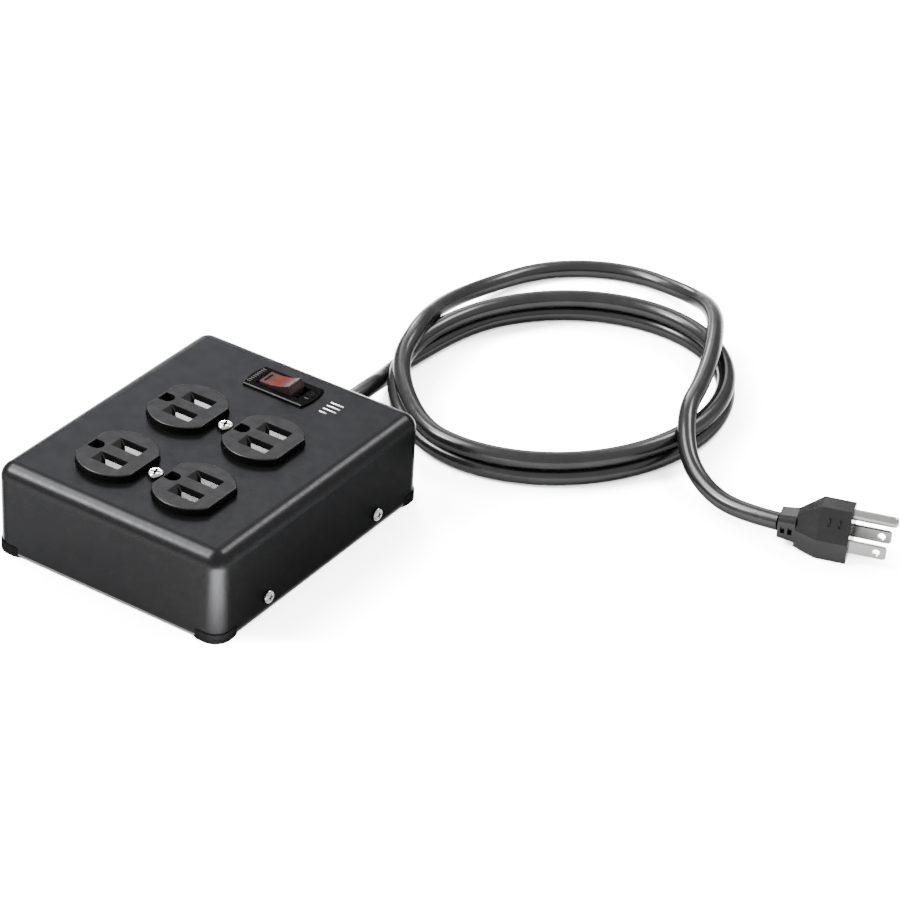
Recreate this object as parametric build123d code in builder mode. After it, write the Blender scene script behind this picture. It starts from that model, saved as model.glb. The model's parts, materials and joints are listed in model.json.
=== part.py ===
"""Boxed surge protector: a steel case with four outlets, a lit breaker switch and a corded plug.

Frame: +Z up, origin on the floor under the centre of the case, +Y along the long side of the case
towards the wall that the cord leaves, +X along the line of each pair of outlets. Millimetres.
"""
from build123d import *
from math import atan2, cos, degrees, pi, radians, sin, tan
import os

# ---------------------------------------------------------------- driving dimensions
WIDTH = 114.3                    # case, along X
LENGTH = 139.7                   # case, along Y
COVER_HEIGHT = 39.4
SHEET = 1.2                      # steel of the cover, plate and straps
PLATE = 1.0                      # steel of the base plate
CORNER_R = 7.0                   # upright corners of the cover
EDGE_R = 6.8                     # rolled top edge of the cover
FOOT_PAD = 0.8                   # rubber under the base plate
FIT = 0.3                        # clearance round what passes through a panel
TOUCH = 0.1                      # clearance between sheets that lie side by side

DUPLEX_PITCH = 46.05             # two-gang spacing along Y
DUPLEX_Y = -14.1                 # middle of the two duplexes
OUTLET_PITCH = 38.9              # the two outlets of one duplex, along X
BODY_MARGIN = 15.55              # receptacle's body past the middle of each outlet
OUTLET_D = 34.1
OUTLET_FLATS = 28.6
FACE_RISE = 3.3                  # outlet face above the cover
BLADE_X = 1.5                    # blade line from the outlet's centre
BLADE_PITCH = 12.7
GROUND_DROP = 11.9               # ground hole from the blade line
SLOT_WIDTH = 2.0
LINE_SLOT = 7.4
NEUTRAL_SLOT = 8.8
FUNNEL = (14.2, 6.8)             # mouth of the flared blade entry: length, width
THROAT = (10.6, 5.4)             # where the steep walls end and the ramps to the slot begin
FUNNEL_DEPTHS = (2.6, 4.4)       # throat and slot under the face
FUNNEL_SHIFTS = (-0.7, 0.3)      # mouth and throat from the slot's middle, so the -X end slopes
FUNNEL_CORNER = 0.6
GROUND_R = 3.0
FACE_EDGE = 0.5                  # rounding of the outlet faces
CENTRE_HEAD = (6.8, 2.2, 1.3)    # pan head: diameter, height, edge rounding
CENTRE_THREAD = 3.5
CENTRE_DEPTH = 12.0              # thread under the cover's top
CROSS = (4.4, 1.1)               # cross recess of the duplexes' screws
SIDE_HEAD = (5.7, 1.7, 1.1)
SIDE_THREAD = 3.4
SIDE_CROSS = (3.0, 0.7)
SIDE_SCREW_Y = 37.7
SIDE_SCREW_UP = 5.3              # side screws over the base plate
FLANGE_UP = 11.0                 # side flanges of the base plate

SWITCH_Y = 49.1
BEZEL = (30.2, 16.4, 1.2)        # length between corners, width, thickness
BEZEL_BOW = 1.4                  # how far the bezel's ends bow out
OPENING = (21.8, 9.7)            # hole that the rocker works in
HOUSING = (26.0, 13.0, 18.6)     # switch body: length, width, depth under the cover's top
ROCKER_WIDTH = 9.1
ROCKER_TOP = (7.75, 9.2, 1.1)    # half length, height over the pivot, dip of its hollow top
ROCKER_END = (8.75, 5.6)         # widest point of the rocker's ends
ROCKER_KEEL = (7.6, 1.0, 2.8, -2.2)   # lower corners: outer x and z, inner x and z
ROCKER_POCKET = (2.4, 6.9, 7.0)  # hollow on each side of the stem: from, to, ceiling
ROCKER_WALL = 1.45
AXLE_R = 1.5
MARK = (6.1, 1.0, 6.0, 0.35)     # groove for the mark: place, width, length, depth
FRAME_LINE = (0.75, 0.3)         # groove round the rocker's end faces: inset, width and depth
SPRING = (1.25, 0.85, 4.8)       # outer and inner radius, length
STEM_BORE = 1.4
PLUNGER = (1.3, 9.9)             # radius, length
ARM = (15.0, 4.0, 0.8)           # contact arm: length, width, thickness
ARM_RIB = 0.9                    # radius of the rib that the arm rocks on
TERMINAL = (0.8, 6.3, 7.0)       # blade terminal: thickness, width, length under the switch
TERMINAL_PITCH = 7.0
SWITCH_FLOOR = 1.6
ROCKER_TILT = 10.4               # either way from level
PIVOT_DEPTH = 5.3                # rocker's pivot under the cover's top
ARM_TILT = 8.0                   # contact arm, either way from level
ARM_DROP = 10.0                  # contact arm's pivot under the rocker's pivot

CORD_D = 8.0
CORD_X = 1.0
CORD_Z = 12.0
SLEEVE = 22.0                    # strain relief outside the rear wall
COIL_CENTRE = (62.5, 103.65)     # from the case's middle and from its rear wall
COIL_AXES = (77.0, 67.0)         # half axes of the cord's centreline in the coil
COIL_ANGLE = 69.0                # long axis from +X
COIL_LAYERS = 2

SLEEVE_RADII = (6.6, 4.9)        # strain relief: at the wall and at its end
BUSHING_RIM = (8.6, 2.6, 2.5)    # rim radius, thickness outside and inside the wall
BUSHING_NECK = 7.0

PLUG_PLACE = (194.3, 66.05, 8.2)      # where the cord enters the plug, y from the rear wall
PLUG_ANGLE = 17.0                     # plug's axis from +X
PLUG_LENGTHS = (7.5, 9.5, 13.5)       # collar, cone, grip block
COLLAR_SIZES = (11.0, 12.6)           # square collar at its two ends
COLLAR_WINDOW = (1.9, 3.4)            # width along the plug, height
# outlines across the plug: half width low and high, bottom, shoulder and top
PLUG_NECK = (6.6, 3.4, -6.4, 1.6, 6.9)
PLUG_GRIP = (9.7, 4.2, -7.8, 0.9, 14.3)
GRIP_BARS = (4.0, 8.4)                # raised bars on the leaning sides, from the cone
GRIP_BAR = (6.5, 0.9, 0.5)            # length, width, height of a bar
BLADE = (6.35, 1.5)
BLADE_LENGTH = 16.0
BLADE_HOLE = (1.6, 4.2)               # radius, place from the tip
BLADE_ROOT = 8.0                      # blades and pin inside the plug
PIN_R = 2.375
PIN_LENGTH = 19.0
SOCKET_GAP = 0.025                    # clearance of the pin and blades in the plug
WIRE_D = 2.8

# ---------------------------------------------------------------- derived places
PLATE_TOP = FOOT_PAD + PLATE
TOP = PLATE_TOP + COVER_HEIGHT
UNDERSIDE = TOP - SHEET
FACE_TOP = TOP + FACE_RISE
FLANGE_TOP = UNDERSIDE - 0.2
FLANGE_BOTTOM = FLANGE_TOP - 2.8
REAR = LENGTH / 2
BODY = (OUTLET_PITCH + 2 * BODY_MARGIN, 32.0)
BODY_CORNER = 3.0
BODY_BOTTOM = 17.0
DUPLEXES = {
    "front": DUPLEX_Y - DUPLEX_PITCH / 2,
    "rear": DUPLEX_Y + DUPLEX_PITCH / 2,
}
OUTLETS = (-OUTLET_PITCH / 2, OUTLET_PITCH / 2)
GROUND_X = BLADE_X - GROUND_DROP
PIVOT_Z = TOP - PIVOT_DEPTH
ARM_Z = PIVOT_Z - ARM_DROP
HOUSING_BOTTOM = TOP - HOUSING[2]
HOUSING_FLOOR = HOUSING_BOTTOM + SWITCH_FLOOR
SIDE_SCREW_Z = PLATE_TOP + SIDE_SCREW_UP

os.makedirs("parts", exist_ok=True)


def save(builder, name):
    """Label a finished piece and write it to its own file."""
    builder.part.label = name
    export_step(builder.part, f"parts/{name}.step")


def rounded_block(width, length, height, corner_r, edge_r, bottom):
    """A block with round upright corners and a round top edge."""
    with BuildPart() as block:
        with BuildSketch(Plane.XY.offset(bottom)):
            RectangleRounded(width, length, corner_r)
        extrude(amount=height)
        fillet(block.faces().sort_by(Axis.Z)[-1].edges(), edge_r)
    return block.part


def outlet_outline(growth=0.0):
    """A circle cut by two flats across X, grown by a clearance."""
    with BuildSketch() as outline:
        Circle(OUTLET_D / 2 + growth)
        Rectangle(OUTLET_FLATS + 2 * growth, OUTLET_D + 2 * growth, mode=Mode.INTERSECT)
    return outline.sketch


def corner_signs():
    """The four corners as (name, x sign, y sign)."""
    return [
        (f"{front}_{side}", sx, sy)
        for front, sy in (("front", -1), ("rear", 1))
        for side, sx in (("left", -1), ("right", 1))
    ]


def bend_radii(points):
    """At each corner, 0.45 of the shorter run over the tangent of half the turn."""
    corners = [Vector(*point) for point in points]
    runs = [b - a for a, b in zip(corners, corners[1:])]
    return [
        0.45 * min(a.length, b.length) / tan(radians(a.get_angle(b)) / 2)
        for a, b in zip(runs, runs[1:])
    ]


def tube(points, diameter, radii):
    """A round tube along straight runs joined by tangent arcs."""
    with BuildPart() as swept:
        with BuildLine() as path:
            FilletPolyline(*points, radius=radii)
        with BuildSketch(Plane(origin=path.line @ 0, z_dir=path.line % 0)):
            Circle(diameter / 2)
        sweep(path=path.line)
    return swept.part, sum(edge.length for edge in path.edges())


# ---------------------------------------------------------------- case
with BuildPart() as top_cover:
    add(rounded_block(WIDTH, LENGTH, COVER_HEIGHT, CORNER_R, EDGE_R, PLATE_TOP))
    add(
        rounded_block(
            WIDTH - 2 * SHEET, LENGTH - 2 * SHEET, COVER_HEIGHT - SHEET,
            CORNER_R - SHEET, EDGE_R - SHEET, PLATE_TOP,
        ),
        mode=Mode.SUBTRACT,
    )
    with BuildSketch(Plane.XY.offset(TOP)):
        with Locations(*[(x, y) for x in OUTLETS for y in DUPLEXES.values()]):
            add(outlet_outline(FIT))
        with Locations(*[(0, y) for y in DUPLEXES.values()]):
            Circle(CENTRE_THREAD / 2 + FIT)
        with Locations((0, SWITCH_Y)):
            Rectangle(HOUSING[0] + 2 * FIT, HOUSING[1] + 2 * FIT)
    extrude(amount=-2 * SHEET, mode=Mode.SUBTRACT)
    with BuildSketch(Plane.YZ):
        with Locations((-SIDE_SCREW_Y, SIDE_SCREW_Z), (SIDE_SCREW_Y, SIDE_SCREW_Z)):
            Circle(SIDE_THREAD / 2 + FIT)
    extrude(amount=WIDTH, both=True, mode=Mode.SUBTRACT)
    with BuildSketch(Plane.XZ.offset(-REAR)):
        with Locations((CORD_X, CORD_Z)):
            Circle(BUSHING_NECK + TOUCH)
    extrude(amount=2 * SHEET, mode=Mode.SUBTRACT)
save(top_cover, "top_cover")

FLANGE_X = WIDTH / 2 - SHEET - TOUCH       # outer face of the plate's side flanges
PEG_IN = 8.0                               # foot pegs from the walls
PEG = (WIDTH / 2 - PEG_IN, LENGTH / 2 - PEG_IN)
PEG_R = 2.5
PEG_HEAD = (3.5, 1.6)
BOARD_AT = (-28.0, 44.0)
BOARD = (38.0, 30.0, 1.6)
BOARD_Z = PLATE_TOP + 4.0
BOARD_POST_R = 2.5
BOARD_THREAD_R = 1.2
BOARD_HOLES = [
    (BOARD_AT[0] + sx * (BOARD[0] / 2 - 3), BOARD_AT[1] + sy * (BOARD[1] / 2 - 3))
    for sx in (-1, 1) for sy in (-1, 1)
]

with BuildPart() as base_plate:
    with BuildSketch(Plane.XY.offset(FOOT_PAD)):
        RectangleRounded(WIDTH, LENGTH, CORNER_R)
        with Locations(*[(sx * PEG[0], sy * PEG[1]) for _, sx, sy in corner_signs()]):
            Circle(PEG_R + 0.05, mode=Mode.SUBTRACT)
    extrude(amount=PLATE)
    with BuildSketch(Plane.XY.offset(PLATE_TOP)):
        with Locations((FLANGE_X - PLATE / 2, 0), (-FLANGE_X + PLATE / 2, 0)):
            Rectangle(PLATE, LENGTH - 4 * CORNER_R)
    extrude(amount=FLANGE_UP)
    with BuildSketch(Plane.YZ):
        with Locations((-SIDE_SCREW_Y, SIDE_SCREW_Z), (SIDE_SCREW_Y, SIDE_SCREW_Z)):
            Circle(SIDE_THREAD / 2)
    extrude(amount=WIDTH, both=True, mode=Mode.SUBTRACT)
    with BuildSketch(Plane.XY.offset(PLATE_TOP)):
        with Locations(*BOARD_HOLES):
            Circle(BOARD_POST_R)
            Circle(BOARD_THREAD_R, mode=Mode.SUBTRACT)
    extrude(amount=BOARD_Z - PLATE_TOP)
save(base_plate, "base_plate")

with BuildPart() as side_screws:
    for side in (-1, 1):
        seat = Plane(origin=(side * WIDTH / 2, 0, SIDE_SCREW_Z), x_dir=(0, side, 0), z_dir=(side, 0, 0))
        for y in (-SIDE_SCREW_Y, SIDE_SCREW_Y):
            centre = seat.shift_origin((side * WIDTH / 2, y, SIDE_SCREW_Z))
            with BuildSketch(centre):
                Circle(SIDE_HEAD[0] / 2)
            head = extrude(amount=SIDE_HEAD[1])
            fillet(head.faces().sort_by(Axis((0, 0, 0), (side, 0, 0)))[-1].edges(), SIDE_HEAD[2])
            with BuildSketch(centre.offset(-5.0)):
                Circle(SIDE_THREAD / 2)
            extrude(amount=5.0)
            with BuildSketch(centre.offset(SIDE_HEAD[1] - 1.0)):
                Rectangle(*SIDE_CROSS)
                Rectangle(*SIDE_CROSS[::-1])
            extrude(amount=SIDE_HEAD[1], mode=Mode.SUBTRACT)
save(side_screws, "side_screws")

FOOT = 17.2                      # squarish pad that wraps the corner
LIP = 0.6                        # stands out of the walls by this much
FOOT_WRAP = 2.4                  # how far it comes up the walls
for corner, sx, sy in corner_signs():
    place = (sx * (WIDTH / 2 + LIP - FOOT / 2), sy * (LENGTH / 2 + LIP - FOOT / 2))
    with BuildPart() as foot:
        with BuildSketch():
            with Locations(place):
                RectangleRounded(FOOT, FOOT, CORNER_R + LIP)
        extrude(amount=PLATE_TOP + FOOT_WRAP)
        with BuildSketch(Plane.XY.offset(FOOT_PAD)):
            RectangleRounded(WIDTH + TOUCH, LENGTH + TOUCH, CORNER_R + TOUCH / 2)
        extrude(amount=COVER_HEIGHT, mode=Mode.SUBTRACT)
        with BuildSketch(Plane.XY.offset(FOOT_PAD)):
            with Locations((sx * PEG[0], sy * PEG[1])):
                Circle(PEG_R)
        extrude(amount=PLATE)
        with BuildSketch(Plane.XY.offset(PLATE_TOP)):
            with Locations((sx * PEG[0], sy * PEG[1])):
                Circle(PEG_HEAD[0])
        extrude(amount=PEG_HEAD[1], taper=25)
    save(foot, f"foot_{corner}")


# ---------------------------------------------------------------- duplex receptacles
def receptacle_face(y):
    """One moulding: a flange under the cover and two bosses with blade and ground holes."""
    with BuildPart() as face:
        with BuildSketch(Plane.XY.offset(FLANGE_BOTTOM)):
            with Locations((0, y)):
                RectangleRounded(*BODY, BODY_CORNER)
        extrude(amount=FLANGE_TOP - FLANGE_BOTTOM)
        with BuildSketch(Plane.XY.offset(FLANGE_BOTTOM)):
            with Locations(*[(x, y) for x in OUTLETS]):
                add(outlet_outline())
        extrude(amount=FACE_TOP - FLANGE_BOTTOM)
        fillet(face.faces().group_by(Axis.Z)[-1].edges(), FACE_EDGE)
        for x in OUTLETS:
            for slot_y, slot in ((-BLADE_PITCH / 2, LINE_SLOT), (BLADE_PITCH / 2, NEUTRAL_SLOT)):
                with BuildSketch(Plane.XY.offset(FACE_TOP)):
                    with Locations((x + BLADE_X + FUNNEL_SHIFTS[0], y + slot_y)):
                        RectangleRounded(*FUNNEL, FUNNEL_CORNER)
                throat = Plane.XY.offset(FACE_TOP - FUNNEL_DEPTHS[0])
                with BuildSketch(throat):
                    with Locations((x + BLADE_X + FUNNEL_SHIFTS[1], y + slot_y)):
                        RectangleRounded(*THROAT, FUNNEL_CORNER)
                loft(mode=Mode.SUBTRACT)
                with BuildSketch(throat):
                    with Locations((x + BLADE_X + FUNNEL_SHIFTS[1], y + slot_y)):
                        Rectangle(*THROAT)
                with BuildSketch(Plane.XY.offset(FACE_TOP - FUNNEL_DEPTHS[1])):
                    with Locations((x + BLADE_X, y + slot_y)):
                        Rectangle(slot, SLOT_WIDTH)
                loft(mode=Mode.SUBTRACT)
                with BuildSketch(Plane.XY.offset(FLANGE_BOTTOM)):
                    with Locations((x + BLADE_X, y + slot_y)):
                        Rectangle(slot, SLOT_WIDTH)
                extrude(amount=FACE_TOP - FUNNEL_DEPTHS[1] - FLANGE_BOTTOM, mode=Mode.SUBTRACT)
            with BuildSketch(Plane.XY.offset(FLANGE_BOTTOM)):
                with Locations((x + GROUND_X, y)):
                    Circle(GROUND_R)
                    Rectangle(GROUND_R, 2 * GROUND_R, align=(Align.MAX, Align.CENTER))
            extrude(amount=FACE_TOP - FLANGE_BOTTOM, mode=Mode.SUBTRACT)
        with BuildSketch(Plane.XY.offset(FLANGE_BOTTOM)):
            with Locations((0, y)):
                Circle(CENTRE_THREAD / 2 + FIT)
        extrude(amount=FLANGE_TOP - FLANGE_BOTTOM, mode=Mode.SUBTRACT)
    return face


CHANNEL = (BODY[0] - 6.0, 9.6)   # line and neutral chambers of the body
GROUND_CHANNEL = (BODY[0] - 3.0, 6.6)
CHANNEL_Y = 9.0
CHANNEL_FLOOR = BODY_BOTTOM + 3.0
POST_R = 2.4                     # strap's tapped post
TERMINAL_X = 9.0
TERMINAL_Z = 27.0
TAB = (6.0, 0.8)                 # link through the body's side: width, thickness
TAB_HOLE = (6.4, 3.4)
SIDE_PLATE = (8.0, 8.0, 0.8)     # terminal plate: length past the screws, height, thickness
TERMINAL_HEAD = (3.4, 2.0)       # terminal screw: radius, height
TERMINAL_SLOT = (7.0, 0.9, 0.8)
CLIP = (7.0, 0.8, 13.0)          # one leaf of a blade clip: width, thickness, height
CLIP_GAP = 1.4                   # leaf's middle from the blade's middle
BAR = 3.6                        # width of the brass bar that joins the clips
GROUND_STRIP = 6.2
GROUND_SOCKET = (3.1, 2.4, 9.5)  # outer and inner radius, height
LIFT = 0.5                       # brass over the chambers' floor


def receptacle_body(y):
    """A box with line, neutral and ground chambers, open under the face."""
    with BuildPart() as body:
        with BuildSketch(Plane.XY.offset(BODY_BOTTOM)):
            with Locations((0, y)):
                RectangleRounded(*BODY, BODY_CORNER)
        extrude(amount=FLANGE_BOTTOM - BODY_BOTTOM)
        with BuildSketch(Plane.XY.offset(CHANNEL_FLOOR)):
            with Locations((0, y - CHANNEL_Y), (0, y + CHANNEL_Y)):
                Rectangle(*CHANNEL)
            with Locations((0, y)):
                Rectangle(*GROUND_CHANNEL)
        extrude(amount=FLANGE_BOTTOM - CHANNEL_FLOOR, mode=Mode.SUBTRACT)
        with BuildSketch(Plane.XY.offset(BODY_BOTTOM)):
            with Locations((0, y)):
                Circle(POST_R + TOUCH)
        extrude(amount=CHANNEL_FLOOR - BODY_BOTTOM, mode=Mode.SUBTRACT)
        with BuildSketch(Plane.XZ.offset(-y)):
            with Locations((0, TERMINAL_Z)):
                Rectangle(*TAB_HOLE)
        extrude(amount=BODY[1], both=True, mode=Mode.SUBTRACT)
    return body


def blade_contact(y, side):
    """A brass bar with two spring clips, and an outside plate for its two wires."""
    with BuildPart() as contact:
        with BuildSketch(Plane.XY.offset(CHANNEL_FLOOR + LIFT)):
            with Locations((0, y + side * BLADE_PITCH / 2)):
                Rectangle(OUTLET_PITCH + 2 * CLIP[0], BAR)
        extrude(amount=CLIP[1])
        for x in OUTLETS:
            for leaf in (-CLIP_GAP, CLIP_GAP):
                with BuildSketch(Plane.XY.offset(CHANNEL_FLOOR + LIFT)):
                    with Locations((x + BLADE_X, y + side * BLADE_PITCH / 2 + leaf)):
                        Rectangle(CLIP[0], CLIP[1])
                extrude(amount=CLIP[2])
        with BuildSketch(Plane.XY.offset(CHANNEL_FLOOR + LIFT)):
            with Locations((0, y + side * (BLADE_PITCH / 2 + CLIP_GAP))):
                Rectangle(*TAB)
        extrude(amount=TERMINAL_Z + CLIP_GAP - CHANNEL_FLOOR - LIFT)
        tab_from = BLADE_PITCH / 2 + CLIP_GAP - TAB[1] / 2
        tab_to = BODY[1] / 2 + LIFT
        with BuildSketch(Plane.XY.offset(TERMINAL_Z + CLIP_GAP - TAB[1])):
            with Locations((0, y + side * (tab_from + tab_to) / 2)):
                Rectangle(TAB[0], tab_to - tab_from)
        extrude(amount=TAB[1])
        with BuildSketch(Plane.XZ.offset(-(y + side * tab_to))):
            with Locations((0, TERMINAL_Z)):
                Rectangle(2 * TERMINAL_X + SIDE_PLATE[0], SIDE_PLATE[1])
        extrude(amount=SIDE_PLATE[2] / 2, both=True)
    return contact


def terminal_screws(y):
    """Two screws on each side plate of the body."""
    with BuildPart() as screws:
        for side in (-1, 1):
            plate = y + side * (BODY[1] / 2 + LIFT + SIDE_PLATE[2] / 2)
            for x in (-TERMINAL_X, TERMINAL_X):
                seat = Plane(origin=(x, plate, TERMINAL_Z), x_dir=(1, 0, 0), z_dir=(0, side, 0))
                with BuildSketch(seat):
                    Circle(TERMINAL_HEAD[0])
                extrude(amount=TERMINAL_HEAD[1])
                with BuildSketch(seat.offset(TERMINAL_HEAD[1] - TERMINAL_SLOT[2])):
                    Rectangle(TERMINAL_SLOT[0], TERMINAL_SLOT[1])
                extrude(amount=TERMINAL_SLOT[2], mode=Mode.SUBTRACT)
    return screws


def ground_contact(y):
    """A strip in the middle chamber with a spring socket under each ground hole."""
    with BuildPart() as contact:
        with BuildSketch(Plane.XY.offset(CHANNEL_FLOOR + LIFT)):
            with Locations((0, y)):
                Rectangle(OUTLET_PITCH + 3 * CLIP[0], GROUND_STRIP)
                Circle(POST_R + TOUCH, mode=Mode.SUBTRACT)
        extrude(amount=CLIP[1])
        with BuildSketch(Plane.XY.offset(CHANNEL_FLOOR + LIFT + CLIP[1])):
            with Locations(*[(x + GROUND_X, y) for x in OUTLETS]):
                Circle(GROUND_SOCKET[0])
                Circle(GROUND_SOCKET[1], mode=Mode.SUBTRACT)
        extrude(amount=GROUND_SOCKET[2])
    return contact


STRAP_WIDTH = 12.0
STRAP_X = BODY[0] / 2 + TOUCH    # inner face of the strap's uprights
EAR = 8.0
POST_GAP = 0.5                   # post's top under the face's flange


def strap(y):
    """A steel band under the body, up both ends and out under the cover, with a tapped post."""
    with BuildPart() as band:
        with BuildSketch(Plane.XY.offset(BODY_BOTTOM - SHEET)):
            with Locations((0, y)):
                Rectangle(2 * (STRAP_X + SHEET), STRAP_WIDTH)
        extrude(amount=SHEET)
        with BuildSketch(Plane.XY.offset(BODY_BOTTOM)):
            with Locations((STRAP_X + SHEET / 2, y), (-STRAP_X - SHEET / 2, y)):
                Rectangle(SHEET, STRAP_WIDTH)
        extrude(amount=FLANGE_TOP - BODY_BOTTOM)
        with BuildSketch(Plane.XY.offset(FLANGE_TOP - SHEET)):
            ear_x = STRAP_X + SHEET + EAR / 2
            with Locations((ear_x, y), (-ear_x, y)):
                Rectangle(EAR, STRAP_WIDTH)
        extrude(amount=SHEET)
        with BuildSketch(Plane.XY.offset(BODY_BOTTOM)):
            with Locations((0, y)):
                Circle(POST_R)
        extrude(amount=FLANGE_BOTTOM - POST_GAP - BODY_BOTTOM)
        with BuildSketch(Plane.XY.offset(FLANGE_BOTTOM - POST_GAP)):
            with Locations((0, y)):
                Circle(CENTRE_THREAD / 2)
        extrude(amount=-CENTRE_DEPTH, mode=Mode.SUBTRACT)
    return band


def centre_screw(y):
    """Pan head with a cross recess on the cover, shank down into the strap's post."""
    with BuildPart() as screw:
        with BuildSketch(Plane.XY.offset(TOP)):
            with Locations((0, y)):
                Circle(CENTRE_HEAD[0] / 2)
        extrude(amount=CENTRE_HEAD[1])
        fillet(screw.faces().sort_by(Axis.Z)[-1].edges(), CENTRE_HEAD[2])
        with BuildSketch(Plane.XY.offset(TOP - CENTRE_DEPTH)):
            with Locations((0, y)):
                Circle(CENTRE_THREAD / 2)
        extrude(amount=CENTRE_DEPTH)
        with BuildSketch(Plane.XY.offset(TOP + CENTRE_HEAD[1] / 3)):
            with Locations((0, y)):
                Rectangle(*CROSS, rotation=20)
                Rectangle(*CROSS, rotation=110)
        extrude(amount=CENTRE_HEAD[1], mode=Mode.SUBTRACT)
    return screw


for end, duplex_y in DUPLEXES.items():
    save(receptacle_face(duplex_y), f"receptacle_face_{end}")
    save(receptacle_body(duplex_y), f"receptacle_body_{end}")
    save(blade_contact(duplex_y, -1), f"line_contact_{end}")
    save(blade_contact(duplex_y, 1), f"neutral_contact_{end}")
    save(ground_contact(duplex_y), f"ground_contact_{end}")
    save(terminal_screws(duplex_y), f"terminal_screws_{end}")
    save(strap(duplex_y), f"strap_{end}")
    save(centre_screw(duplex_y), f"centre_screw_{end}")

# ---------------------------------------------------------------- breaker switch
with BuildPart() as switch_housing:
    with BuildSketch(Plane.XY.offset(HOUSING_BOTTOM)):
        with Locations((0, SWITCH_Y)):
            Rectangle(HOUSING[0], HOUSING[1])
    extrude(amount=HOUSING[2])
    half_x = BEZEL[0] / 2
    half_y = BEZEL[1] / 2
    with BuildSketch(Plane.XY.offset(TOP)):
        with BuildLine():
            corner_a = (-half_x, SWITCH_Y - half_y)
            corner_b = (half_x, SWITCH_Y - half_y)
            corner_c = (half_x, SWITCH_Y + half_y)
            corner_d = (-half_x, SWITCH_Y + half_y)
            Line(corner_a, corner_b)
            ThreePointArc(corner_b, (half_x + BEZEL_BOW, SWITCH_Y), corner_c)
            Line(corner_c, corner_d)
            ThreePointArc(corner_d, (-half_x - BEZEL_BOW, SWITCH_Y), corner_a)
        make_face()
    extrude(amount=BEZEL[2])
    chamfer(switch_housing.faces().sort_by(Axis.Z)[-1].edges(), 0.4)
    with BuildSketch(Plane.XY.offset(HOUSING_FLOOR)):
        with Locations((0, SWITCH_Y)):
            Rectangle(*OPENING)
    extrude(amount=TOP + BEZEL[2] - HOUSING_FLOOR, mode=Mode.SUBTRACT)
    with BuildSketch(Plane.XZ.offset(-SWITCH_Y)):
        with Locations((0, PIVOT_Z)):
            Circle(AXLE_R + 0.05)
    extrude(amount=HOUSING[1], both=True, mode=Mode.SUBTRACT)
    with BuildSketch(Plane.XY.offset(HOUSING_BOTTOM)):
        with GridLocations(TERMINAL_PITCH, 0, 3, 1):
            with Locations((0, SWITCH_Y)):
                Rectangle(TERMINAL[0], TERMINAL[1])
    extrude(amount=HOUSING_FLOOR - HOUSING_BOTTOM, mode=Mode.SUBTRACT)
save(switch_housing, "switch_housing")

tilt = radians(ROCKER_TILT)
PIVOT = (0, SWITCH_Y, PIVOT_Z)
# side view of the rocker, leaning so that its -X end is pressed in
ROCKER_SIDE = Plane(origin=PIVOT, x_dir=(cos(tilt), 0, sin(tilt)), z_dir=(0, -1, 0))
# plan of the rocker, square to its own upright axis
ROCKER_PLAN = Plane(origin=PIVOT, x_dir=(cos(tilt), 0, sin(tilt)), z_dir=(-sin(tilt), 0, cos(tilt)))

top_x, top_z, dip = ROCKER_TOP
end_x, end_z = ROCKER_END
keel_x, keel_z, heel_x, heel_z = ROCKER_KEEL
with BuildPart() as rocker:
    with BuildSketch(ROCKER_SIDE):
        with BuildLine():
            ThreePointArc((-top_x, top_z), (0, top_z - dip), (top_x, top_z))
            Polyline(
                (top_x, top_z), (end_x, end_z), (keel_x, keel_z), (heel_x, heel_z),
                (-heel_x, heel_z), (-keel_x, keel_z), (-end_x, end_z), (-top_x, top_z),
            )
        make_face()
    extrude(amount=ROCKER_WIDTH / 2, both=True)
    fillet(rocker.edges().filter_by(Axis.Y).group_by(Axis.Z)[-1], 0.5)
    pocket_from, pocket_to, ceiling = ROCKER_POCKET
    with BuildSketch(ROCKER_SIDE):
        with Locations(((pocket_from + pocket_to) / 2, ceiling), (-(pocket_from + pocket_to) / 2, ceiling)):
            Rectangle(pocket_to - pocket_from, 2 * ceiling, align=(Align.CENTER, Align.MAX))
    extrude(amount=ROCKER_WIDTH / 2 - ROCKER_WALL, both=True, mode=Mode.SUBTRACT)
    with BuildSketch(ROCKER_SIDE):
        Circle(AXLE_R)
    extrude(amount=HOUSING[1] / 2 - TOUCH, both=True)
    with BuildSketch(ROCKER_PLAN.offset(heel_z)):
        Circle(STEM_BORE)
    extrude(amount=SPRING[2] - heel_z + 1.0, mode=Mode.SUBTRACT)
    mark_at, mark_width, mark_length, mark_depth = MARK
    with BuildSketch(ROCKER_PLAN.offset(top_z - mark_depth - dip / 2)):
        with Locations((-mark_at, 0)):
            Rectangle(mark_width, mark_length)
    extrude(amount=dip, mode=Mode.SUBTRACT)
    end_length = (Vector(top_x, top_z) - Vector(end_x, end_z)).length
    inset, groove = FRAME_LINE
    for sign in (-1, 1):
        middle = ROCKER_SIDE.from_local_coords((sign * (top_x + end_x) / 2, (top_z + end_z) / 2, 0))
        outward = ROCKER_SIDE.from_local_coords(
            (sign * ((top_x + end_x) / 2 + top_z - end_z), (top_z + end_z) / 2 + end_x - top_x, 0)
        ) - middle
        with BuildSketch(Plane(origin=middle, x_dir=(0, 1, 0), z_dir=outward).offset(-groove)):
            Rectangle(ROCKER_WIDTH - 2 * inset, end_length - inset)
            Rectangle(
                ROCKER_WIDTH - 2 * inset - 2 * groove, end_length - inset - 2 * groove,
                mode=Mode.SUBTRACT,
            )
        extrude(amount=2 * groove, mode=Mode.SUBTRACT)
save(rocker, "rocker")

with BuildPart() as switch_spring:
    with BuildSketch(ROCKER_PLAN.offset(1.0)):
        Circle(SPRING[0])
        Circle(SPRING[1], mode=Mode.SUBTRACT)
    extrude(amount=SPRING[2])
save(switch_spring, "switch_spring")

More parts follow.
